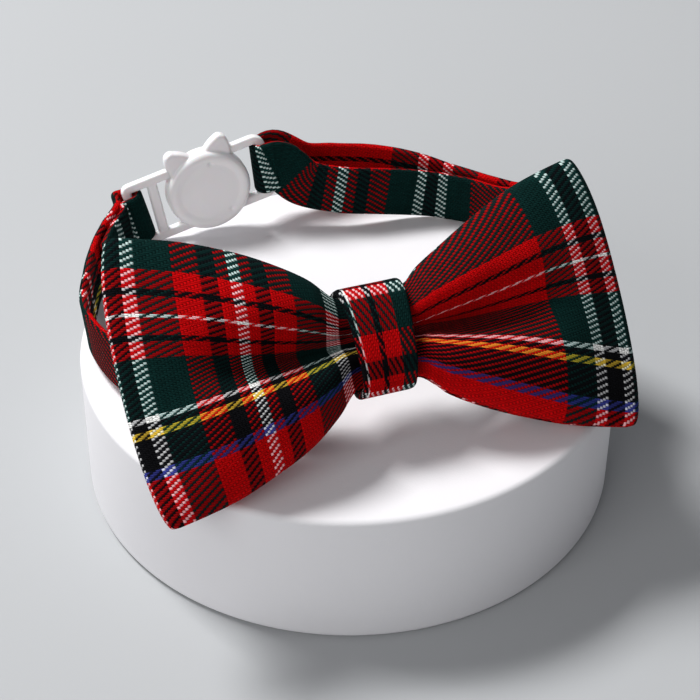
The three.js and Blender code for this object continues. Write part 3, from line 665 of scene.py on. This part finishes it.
def bow_surface(columns=150, rows=74, fold_steps=12):
    """The bow as a loop of cloth: front layer, half a circle at each end and back layer as its middle
    surface, then the cloth's two faces half its thickness off it along the normals, joined by half a
    circle along the upper and lower edges."""
    w = np.sin(np.linspace(-np.pi / 2, np.pi / 2, rows))
    u = np.linspace(-1, 1, columns)
    grid_u, grid_w = np.meshgrid(u, w, indexing="ij")
    front = wing_surface(grid_u, grid_w, 1.0)
    back = wing_surface(grid_u, grid_w, -1.0)[::-1]

    def fold(start, end, sign):
        middle, half = (start + end) / 2, (start - end) / 2
        out = np.linalg.norm(half, axis=-1, keepdims=True) * np.array([sign, 0, 0])
        turn = np.linspace(0, np.pi, fold_steps + 1)[1:-1, None, None]
        return middle + half * np.cos(turn) + out * np.sin(turn)

    half_back = columns // 2
    right = fold(front[-1], back[0], 1.0)
    left = fold(back[-1], front[0], -1.0)
    middle = np.concatenate([back[half_back:], left, front, right, back[: half_back + 1]])
    # the cross sett follows the front's length, turns the end folds by their arc and goes on behind
    along_bow = (BOW_CORNER + BOW_BULGE) * u
    front_warp = BOW_WARP + along_bow - np.interp(along_bow, WING_DRIFT["at"], WING_DRIFT["drift"])
    arc_step = math.pi * BOW_FOLD_RADIUS / fold_steps
    right_warp = front_warp[-1] + arc_step * np.arange(1, fold_steps)
    left_warp = front_warp[0] - arc_step * np.arange(fold_steps - 1, 0, -1)
    span = (BOW_CORNER + BOW_BULGE) * (u + 1)
    back_right = front_warp[-1] + arc_step * fold_steps + span
    back_left = front_warp[0] - arc_step * fold_steps - span
    warp = np.concatenate([
        back_left[: columns - half_back][::-1], left_warp,
        front_warp, right_warp, back_right[: half_back + 1],
    ])
    end = np.ones(fold_steps - 1)
    place = np.concatenate([-u[half_back:], -end, u, end, -u[: half_back + 1]])
    along = np.gradient(middle, axis=0)
    up = np.gradient(middle, axis=1)
    normal = unit(np.cross(along, up))
    out_low, out_high = -unit(middle[:, 1] - middle[:, 0]), unit(middle[:, -1] - middle[:, -2])
    half = BOW_CLOTH / 2
    rim = np.linspace(np.pi / 2, -np.pi / 2, 9)[1:-1]

    def rounded(edge_points, edge_normal, out, turn):
        turn = turn[None, :, None]
        turned = np.sin(turn) * edge_normal[:, None] + np.cos(turn) * out[:, None]
        return edge_points[:, None] + half * turned

    high = rounded(middle[:, -1], normal[:, -1], out_high, rim)
    low = rounded(middle[:, 0], normal[:, 0], out_low, rim[::-1])
    outer, inner = middle + normal * half, middle - normal * half
    points = np.concatenate([outer, high, inner[:, ::-1], low, outer[:, :1]], axis=1)
    weft_rows = w * WING_CLOTH_HALF
    over = half * (np.pi / 2 - rim)
    weft = np.concatenate([weft_rows, weft_rows[-1] + over, weft_rows[::-1] + 2 * half,
                           weft_rows[0] - half * np.pi + over, weft_rows[:1]])
    pivot = BOW_PIVOT - BOW_PIVOT_RISE * (1 + place)
    uv = np.stack(np.broadcast_arrays(warp[:, None], weft[None, :] - pivot[:, None]), axis=-1)
    return points, uv


def band_surface(steps=220):
    """The band round the knot: a closed outline seen along the bow, rounder in front than behind, with
    a rounded flat section carried along it. The section is narrower at the front and towards the
    bottom, where it also moves to the left."""
    turn = np.linspace(-np.pi, np.pi, steps + 1)
    front = np.cos(turn) > 0
    centre = (BAND_FRONT + BAND_BACK) / 2
    deep = (BAND_FRONT - BAND_BACK) / 2 + BAND_THICKNESS / 2
    high = BAND_HALF_HEIGHT + BAND_THICKNESS / 2
    power = np.where(front, 2 / 2.7, 2 / 4.2)
    z = centre + deep * np.sign(np.cos(turn)) * np.abs(np.cos(turn)) ** power
    y = -high * np.sign(np.sin(turn)) * np.abs(np.sin(turn)) ** power
    line = np.stack([y, z], 1)
    length = np.concatenate([[0], np.cumsum(np.linalg.norm(np.diff(line, axis=0), axis=1))])
    even = np.linspace(0, length[-1], steps + 1)
    line = np.stack([np.interp(even, length, line[:, k]) for k in range(2)], 1)
    ahead = unit(np.roll(line[:-1], -1, axis=0) - np.roll(line[:-1], 1, axis=0))
    ahead = np.vstack([ahead, ahead[:1]])
    normal = np.stack([ahead[:, 1], -ahead[:, 0]], 1)
    half, thick = BAND_HALF_WIDTH, BAND_THICKNESS / 2
    rim = np.linspace(np.pi / 2, -np.pi / 2, 8)
    flat = np.linspace(-(half - thick), half - thick, 24)
    section = np.vstack([
        np.stack([flat, np.full(24, thick)], 1),
        np.stack([half - thick + thick * np.cos(rim), thick * np.sin(rim)], 1)[1:],
        np.stack([flat[::-1], np.full(24, -thick)], 1)[1:],
        np.stack([-(half - thick) - thick * np.cos(rim[::-1]), thick * np.sin(rim[::-1])], 1)[1:],
    ])
    around = np.concatenate([[0], np.cumsum(np.linalg.norm(np.diff(section, axis=0), axis=1))])
    facing = np.clip(line[:, 1] - centre, 0, None) / deep
    narrow = 1 - 0.045 * facing * np.cos(line[:, 0] / high * np.pi / 2)
    below = np.clip(0.5 - line[:, 0] / high * 0.55, 0, 1) ** 2
    narrow = narrow * (1 - 0.17 * below)
    wave = np.sin(3.1 * section[:, 0][None, :] / half + line[:, 0][:, None] * 0.4)
    crease = 0.10 * wave * facing[:, None]
    across = section[:, 0][None, :] * narrow[:, None] - 0.35 * below[:, None]
    out = section[:, 1][None, :] + crease
    points = np.stack([
        across,
        line[:, 0][:, None] + normal[:, 0][:, None] * out,
        line[:, 1][:, None] + normal[:, 1][:, None] * out,
    ], -1)
    warp = BAND_WARP + even - even[-1] / 2
    weft = around - 0.1
    uv = np.stack(np.broadcast_arrays(warp[:, None], weft[None, :]), axis=-1)
    return points, uv


# ---- finishes -----------------------------------------------------------------------------------


class Finish:
    """A material's node tree, with short calls for the nodes that it uses."""

    def __init__(self, name, **sockets):
        self.material = bpy.data.materials.new(name)
        self.material.use_nodes = True
        self.tree = self.material.node_tree
        self.shader = self.tree.nodes["Principled BSDF"]
        for socket, value in sockets.items():
            self.shader.inputs[socket.replace("_", " ")].default_value = value

    def add(self, kind, **settings):
        node = self.tree.nodes.new(kind)
        for key, value in settings.items():
            setattr(node, key, value)
        return node

    def feed(self, socket, value):
        if isinstance(value, bpy.types.NodeSocket):
            self.tree.links.new(value, socket)
        else:
            socket.default_value = value

    def math(self, operation, *values):
        node = self.add("ShaderNodeMath", operation=operation)
        for socket, value in zip(node.inputs, values):
            self.feed(socket, value)
        return node.outputs[0]

    def mix(self, share, low, high, blend="MIX"):
        node = self.add("ShaderNodeMix", data_type="RGBA", blend_type=blend)
        for index, value in ((0, share), (6, low), (7, high)):
            self.feed(node.inputs[index], value)
        return node.outputs[2]

    def grey(self, value):
        node = self.add("ShaderNodeCombineColor")
        for socket in node.inputs:
            self.feed(socket, value)
        return node.outputs[0]

    def noise(self, vector, scale, detail=2.0, roughness=0.5):
        node = self.add("ShaderNodeTexNoise")
        self.feed(node.inputs["Vector"], vector)
        self.feed(node.inputs["Scale"], scale)
        self.feed(node.inputs["Detail"], detail)
        self.feed(node.inputs["Roughness"], roughness)
        return node.outputs[0]

    def steps(self, share, stops):
        """A colour ramp of plain steps."""
        ramp = self.add("ShaderNodeValToRGB")
        ramp.color_ramp.interpolation = "CONSTANT"
        for number, (position, colour) in enumerate(stops):
            if number < 2:
                stop = ramp.color_ramp.elements[number]
                stop.position = position
            else:
                stop = ramp.color_ramp.elements.new(position)
            stop.color = colour
        self.feed(ramp.inputs[0], share)
        return ramp.outputs[0]

    def bump(self, height, distance, strength=1.0):
        node = self.add("ShaderNodeBump")
        self.feed(node.inputs["Height"], height)
        self.feed(node.inputs["Distance"], distance)
        self.feed(node.inputs["Strength"], strength)
        self.feed(self.shader.inputs["Normal"], node.outputs[0])

    def colour(self, value):
        self.feed(self.shader.inputs["Base Color"], value)


def sett_stops(sett, cloth):
    """The sett as stops from 0 to 1, and its length in millimetres."""
    whole = sum(width for width, _ in sett)
    stops, at = [], 0.0
    for width, yarn in sett:
        stops.append((at / whole, (*getattr(cloth, yarn), 1.0)))
        at += width
    return stops, whole


def cloth_finish(name, cloth):
    """Tartan in a two-and-two twill. Warp thread i and weft thread j cross with the warp on top where
    j - i, counted in fours, is 0 or 1. Each thread has its stripe's colour and a tone of its own;
    each float is a low pillow in the bump, and its colour carries painted shade: bright on top and dark
    at its rim."""
    finish = Finish(name, Roughness=0.9, Sheen_Weight=0.0, Specular_IOR_Level=0.05)
    parts = finish.add("ShaderNodeSeparateXYZ")
    place = finish.add("ShaderNodeUVMap", uv_map=CLOTH_UV).outputs[0]
    finish.feed(parts.inputs[0], place)
    math_ = finish.math
    warp = math_("DIVIDE", parts.outputs[0], cloth.warp_pitch / MM)
    weft = math_("DIVIDE", parts.outputs[1], cloth.weft_pitch / MM)
    i, j = math_("FLOOR", warp), math_("FLOOR", weft)
    warp_order = math_("FLOORED_MODULO", math_("SUBTRACT", weft, i), 4.0)
    warp_on_top = math_("COMPARE", warp_order, 1.0, WARP_SHOWN)

    def thread_colour(index, pitch, sett, seed):
        stops, whole = sett_stops(sett, cloth)
        middle = math_("MULTIPLY", math_("ADD", index, 0.5), pitch / MM)
        share = math_("DIVIDE", math_("PINGPONG", middle, whole), whole)
        colour = finish.steps(share, stops)
        chance = finish.add("ShaderNodeTexWhiteNoise", noise_dimensions="1D")
        finish.feed(chance.inputs["W"], math_("ADD", index, seed))
        shade = math_("MULTIPLY_ADD", chance.outputs["Value"], 0.30, 0.86)
        return finish.mix(1.0, colour, finish.grey(shade), "MULTIPLY")

    weft_colour = thread_colour(j, cloth.weft_pitch, WEFT_SETT, 40.5)
    warp_colour = thread_colour(i, cloth.warp_pitch, WARP_SETT, 7.5)
    above = finish.mix(warp_on_top, weft_colour, warp_colour)
    tint = finish.add("ShaderNodeGamma")
    finish.feed(tint.inputs["Color"], finish.mix(warp_on_top, warp_colour, weft_colour))
    finish.feed(tint.inputs["Gamma"], YARN_TINT)
    colour = finish.mix(YARN_BLEED, above, tint.outputs[0], "MULTIPLY")

    def pillow(value):
        """1 in the middle of the range from 0 to 1 and 0 at its ends."""
        return math_("MULTIPLY", math_("MULTIPLY", value, 4.0), math_("SUBTRACT", 1.0, value))

    warp_along = math_("DIVIDE", warp_order, 2.0)
    weft_along = math_(
        "DIVIDE", math_("SUBTRACT", math_("FLOORED_MODULO", math_("SUBTRACT", warp, j), 4.0), 1.0), 2.0)
    warp_height = math_("MULTIPLY", pillow(math_("FRACT", warp)),
                        math_("MULTIPLY_ADD", pillow(warp_along), 0.6, 0.4))
    weft_height = math_("MULTIPLY", pillow(math_("FRACT", weft)),
                        math_("MULTIPLY_ADD", pillow(weft_along), 0.6, 0.4))
    lift = math_("SUBTRACT", warp_height, weft_height)
    height = math_("MULTIPLY_ADD", lift, warp_on_top, weft_height)
    fibre = finish.noise(place, 9.0, 3.0, 0.7)
    height = math_("MULTIPLY_ADD", math_("SUBTRACT", fibre, 0.5), 0.5, height)
    # Painted shade: the colour is darkened where the float's height, fibre noise included, is low, at
    # the float's rim and in the gaps between threads, and kept bright on its crown.
    shade = math_("MULTIPLY_ADD", height, 0.55, 0.66)
    # A slow mottle of the dye, the yarn's own colour, is laid over the painted shade.
    shade = math_("MULTIPLY_ADD", finish.noise(place, 0.35, 2.0), 0.24, math_("SUBTRACT", shade, 0.12))
    # The yarn colour is multiplied by the painted shade and the dye mottle.
    finish.colour(finish.mix(1.0, colour, finish.grey(shade), "MULTIPLY"))
    finish.bump(height, cloth.relief)
    return finish.material


def plastic_finish(name, colour):
    """Moulded plastic: softly glossy, a little translucent, with a faint ripple and scuffs."""
    finish = Finish(
        name, Subsurface_Weight=0.12, Subsurface_Scale=0.0012, Coat_Weight=0.15, Coat_Roughness=0.25)
    place = finish.add("ShaderNodeTexCoord").outputs["Object"]
    cloud = finish.noise(place, 260.0, 3.0)
    finish.colour(finish.mix(cloud, (*(0.965 * c for c in colour), 1), (*colour, 1)))
    rough = finish.math("MULTIPLY_ADD", finish.noise(place, 1900.0, 4.0, 0.7), 0.20, 0.26)
    finish.feed(finish.shader.inputs["Roughness"], rough)
    finish.bump(finish.noise(place, 420.0, 2.0), 0.00006, 0.5)
    return finish.material


def stand_finish(name, colour):
    """Matt paint with a fine tooth, a faint mottle and a few small specks."""
    finish = Finish(name, Roughness=0.72, Specular_IOR_Level=0.3)
    place = finish.add("ShaderNodeTexCoord").outputs["Object"]
    mottle = finish.noise(place, 55.0, 4.0, 0.6)
    base = finish.mix(mottle, (*(0.95 * c for c in colour), 1), (*colour, 1))
    cells = finish.add("ShaderNodeTexVoronoi")
    finish.feed(cells.inputs["Vector"], place)
    finish.feed(cells.inputs["Scale"], 170.0)
    chance = finish.add("ShaderNodeSeparateColor")
    finish.feed(chance.inputs[0], cells.outputs["Color"])
    rare = finish.math("GREATER_THAN", chance.outputs[0], 0.955)
    small = finish.math("LESS_THAN", cells.outputs["Distance"], 0.07)
    speck = finish.math("MULTIPLY", finish.math("MULTIPLY", rare, small), 0.35)
    finish.colour(finish.mix(speck, base, (0.35, 0.34, 0.35, 1)))
    finish.bump(finish.noise(place, 2400.0, 3.0), 0.00004, 0.5)
    return finish.material


def floor_finish(name, colour):
    """Plain matt paint with a very faint cloud."""
    finish = Finish(name, Roughness=0.9, Specular_IOR_Level=0.2)
    place = finish.add("ShaderNodeTexCoord").outputs["Object"]
    cloud = finish.noise(place, 4.0, 2.0)
    finish.colour(finish.mix(cloud, (*(0.985 * c for c in colour), 1), (*colour, 1)))
    return finish.material


# ---- settings -----------------------------------------------------------------------------------


def colour_property(name, description, default):
    return FloatVectorProperty(
        name=name, description=description, default=default, subtype="COLOR", size=3, min=0, max=1)


class ClothSettings(bpy.types.PropertyGroup):
    """Yarns and weave of the tartan."""

    red: colour_property("Red", "Colour of the red yarn", (0.56, 0.002, 0.004))
    green: colour_property("Green", "Colour of the dark green yarn", (0.004, 0.030, 0.027))
    black: colour_property("Black", "Colour of the black yarn", (0.006, 0.006, 0.008))
    white: colour_property("White", "Colour of the cream white yarn", (0.94, 0.94, 0.91))
    yellow: colour_property("Yellow", "Colour of the yellow yarn", (0.86, 0.56, 0.05))
    blue: colour_property("Blue", "Colour of the blue yarn", (0.045, 0.055, 0.30))
    warp_pitch: FloatProperty(
        name="Warp pitch", description="Width of one warp thread", default=0.00054,
        min=0.0001, unit="LENGTH")
    weft_pitch: FloatProperty(
        name="Weft pitch", description="Width of one weft thread", default=0.00027,
        min=0.0001, unit="LENGTH")
    relief: FloatProperty(
        name="Relief", description="Height of a float above its neighbours", default=0.00011,
        min=0, unit="LENGTH")


class HardSettings(bpy.types.PropertyGroup):
    """Plastic and painted pieces."""

    plastic: colour_property("Plastic", "Colour of the buckle and the slide", (0.86, 0.86, 0.87))
    stand: colour_property("Stand", "Colour of the stand's paint", (0.82, 0.81, 0.83))
    skin: FloatProperty(
        name="Skin step", description="Step of the moulded pieces' rebuilt skin", default=0.00014,
        min=0.00005, unit="LENGTH")


class StageSettings(bpy.types.PropertyGroup):
    """Floor and light."""

    floor: colour_property("Floor", "Colour of the floor", (0.44, 0.45, 0.46))
    key: FloatProperty(
        name="Key light", description="Power of the light behind the collar", default=13.5, unit="POWER")
    fill: FloatProperty(
        name="Fill light", description="Power of the light in front", default=5.0, unit="POWER")
    sky: FloatProperty(name="Room light", description="Strength of the even light", default=0.23, min=0)


class CollarSettings(bpy.types.PropertyGroup):
    """Everything that a user would change."""

    cloth: PointerProperty(type=ClothSettings, name="Cloth", description="Yarns and weave")
    hard: PointerProperty(type=HardSettings, name="Hard pieces", description="Plastic and paint")
    stage: PointerProperty(type=StageSettings, name="Stage", description="Floor and light")


# ---- stage, in metres ---------------------------------------------------------------------------

FLOOR_HALF = 2.0
KEY_PLACE, KEY_TARGET, KEY_SIZE = (-0.50, 0.34, 0.90), (0.01, 0, 0.03), 0.30
FILL_PLACE, FILL_TARGET, FILL_SIZE = (-0.60, -0.85, 0.60), (0, 0, 0.02), 0.8
ROOM_COLOUR = (0.95, 0.96, 1.0, 1)
CAMERA_PLACE, CAMERA_LENS = (0.0002, -0.2775, 0.2476), 102.857
CAMERA_PITCH, CAMERA_ROLL = math.radians(38.9), math.radians(0.4)

# ---- operators ----------------------------------------------------------------------------------


class COLLAR_OT_stand(bpy.types.Operator):
    """Adds the round display stand"""

    bl_idname = "collar.stand"
    bl_label = "Display Stand"

    def execute(self, context):
        colour = tuple(context.scene.collar.hard.stand)
        mesh = surface("stand", stand_surface())
        add_piece("stand", mesh, stand_finish("stand_paint", colour), "stand", "display_stand")
        return {"FINISHED"}


class COLLAR_OT_strap(bpy.types.Operator):
    """Adds the strap, in one length from the slide's loop to its sewn end at the buckle's frame"""

    bl_idname = "collar.strap"
    bl_label = "Strap"

    def execute(self, context):
        (points, uv), length = strap_surface()
        finish = cloth_finish("strap_tartan", context.scene.collar.cloth)
        mesh = surface("strap_webbing", points, uv)
        piece = add_piece("strap_webbing", mesh, finish, "strap_cloth", "strap")
        return {"FINISHED"}


class COLLAR_OT_buckle(bpy.types.Operator):
    """Adds the two halves of the breakaway buckle, fastened"""

    bl_idname = "collar.buckle"
    bl_label = "Breakaway Buckle"

    def execute(self, context):
        hard = context.scene.collar.hard
        place, step = buckle_placement(), hard.skin / MM
        finish = plastic_finish("buckle_plastic", tuple(hard.plastic))
        frame_half = fused("buckle_frame_half", male_half_shells(), place, step)
        add_piece("buckle_frame_half", frame_half, finish, "white_plastic", "buckle_frame")
        head_half = fused("buckle_head_half", head_shells(), place, step, head_slot())
        add_piece("buckle_head_half", head_half, finish, "white_plastic", "buckle_head")
        return {"FINISHED"}


class COLLAR_OT_slide(bpy.types.Operator):
    """Adds the slide that sets the strap's length"""

    bl_idname = "collar.slide"
    bl_label = "Slide"

    def execute(self, context):
        hard = context.scene.collar.hard
        finish = plastic_finish("slide_plastic", tuple(hard.plastic))
        mesh = fused("slide", slide_shells(), slide_placement(), hard.skin / MM)
        add_piece("slide", mesh, finish, "white_plastic", "slide_adjuster")
        return {"FINISHED"}


class COLLAR_OT_bow(bpy.types.Operator):
    """Adds the bow: a loop of cloth gathered in the middle"""

    bl_idname = "collar.bow"
    bl_label = "Bow"

    def execute(self, context):
        points, uv = bow_surface()
        finish = cloth_finish("bow_tartan", context.scene.collar.cloth)
        mesh = surface("bow_loop", placed(points, bow_placement()), uv)
        piece = add_piece("bow_loop", mesh, finish, "bow_cloth", "bow_wings")
        return {"FINISHED"}


class COLLAR_OT_band(bpy.types.Operator):
    """Adds the band round the bow's knot and the strap"""

    bl_idname = "collar.band"
    bl_label = "Knot Band"

    def execute(self, context):
        points, uv = band_surface()
        finish = cloth_finish("band_tartan", context.scene.collar.cloth)
        mesh = surface("knot_band", placed(points, bow_placement()), uv)
        piece = add_piece("knot_band", mesh, finish, "band_cloth", "bow_band")
        return {"FINISHED"}


class COLLAR_OT_stage(bpy.types.Operator):
    """Adds the floor, the lights and the camera"""

    bl_idname = "collar.stage"
    bl_label = "Stage"

    def execute(self, context):
        stage = context.scene.collar.stage
        add_floor(tuple(stage.floor))
        add_light("key_light", KEY_PLACE, KEY_TARGET, KEY_SIZE, stage.key)
        add_light("fill_light", FILL_PLACE, FILL_TARGET, FILL_SIZE, stage.fill)
        world = bpy.data.worlds.new("room")
        world.use_nodes = True
        background = world.node_tree.nodes["Background"]
        background.inputs["Color"].default_value = ROOM_COLOUR
        background.inputs["Strength"].default_value = stage.sky
        context.scene.world = world
        context.scene.view_settings.view_transform = "Standard"
        add_camera(context.scene)
        return {"FINISHED"}


def add_floor(colour):
    """A square floor whose top is level with the stand's base."""
    side = np.linspace(-FLOOR_HALF, FLOOR_HALF, 3) / MM
    x, y = np.meshgrid(side, side, indexing="xy")
    floor = bpy.data.objects.new("floor", surface("floor", np.stack([x, y, 0 * x], -1)))
    floor.data.materials.append(floor_finish("floor_paint", colour))
    bpy.context.scene.collection.objects.link(floor)


def add_light(name, place, target, size, power):
    """A square soft light that faces its target."""
    data = bpy.data.lights.new(name, "AREA")
    data.size = size
    data.energy = power
    lamp = bpy.data.objects.new(name, data)
    away = unit(np.array(place) - np.array(target))
    across = unit(np.cross((0, 0, 1.0), away))
    lamp.matrix_world = Matrix(placement(place, across, np.cross(away, across), away).tolist())
    bpy.context.scene.collection.objects.link(lamp)


def add_camera(scene):
    """In front of the bow and above it, looking down; a slight roll."""
    data = bpy.data.cameras.new("camera")
    data.lens, data.sensor_width = CAMERA_LENS, 36.0
    data.clip_start, data.clip_end = 0.01, 20.0
    forward = np.array([0, math.cos(CAMERA_PITCH), -math.sin(CAMERA_PITCH)])
    level_up = np.array([0, math.sin(CAMERA_PITCH), math.cos(CAMERA_PITCH)])
    right = np.array([math.cos(CAMERA_ROLL), 0, 0]) + level_up * math.sin(CAMERA_ROLL)
    camera = bpy.data.objects.new("camera", data)
    stands = placement(CAMERA_PLACE, right, np.cross(right, forward), -forward)
    camera.matrix_world = Matrix(stands.tolist())
    scene.collection.objects.link(camera)
    scene.camera = camera


class COLLAR_PT_panel(bpy.types.Panel):
    """Lists the collar's pieces"""

    bl_idname = "COLLAR_PT_panel"
    bl_label = "Pet Bow Tie Collar"
    bl_space_type = "VIEW_3D"
    bl_region_type = "UI"
    bl_category = "Collar"

    def draw(self, context):
        for operator in OPERATORS:
            self.layout.operator(operator.bl_idname)
        for group in ("cloth", "hard", "stage"):
            settings = getattr(context.scene.collar, group)
            box = self.layout.box()
            for name in settings.bl_rna.properties.keys():
                if name not in {"rna_type", "name"}:
                    box.prop(settings, name)


OPERATORS = (
    COLLAR_OT_stand, COLLAR_OT_buckle, COLLAR_OT_slide, COLLAR_OT_strap,
    COLLAR_OT_bow, COLLAR_OT_band, COLLAR_OT_stage,
)
CLASSES = (ClothSettings, HardSettings, StageSettings, CollarSettings, *OPERATORS, COLLAR_PT_panel)


def register():
    for cls in CLASSES:
        bpy.utils.register_class(cls)
    bpy.types.Scene.collar = PointerProperty(type=CollarSettings)


def unregister():
    del bpy.types.Scene.collar
    for cls in reversed(CLASSES):
        bpy.utils.unregister_class(cls)


def main():
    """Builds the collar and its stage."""
    register()
    bpy.ops.collar.stand()
    bpy.ops.collar.buckle()
    bpy.ops.collar.slide()
    bpy.ops.collar.strap()
    bpy.ops.collar.bow()
    bpy.ops.collar.band()
    bpy.ops.collar.stage()


if __name__ == "__main__":
    main()
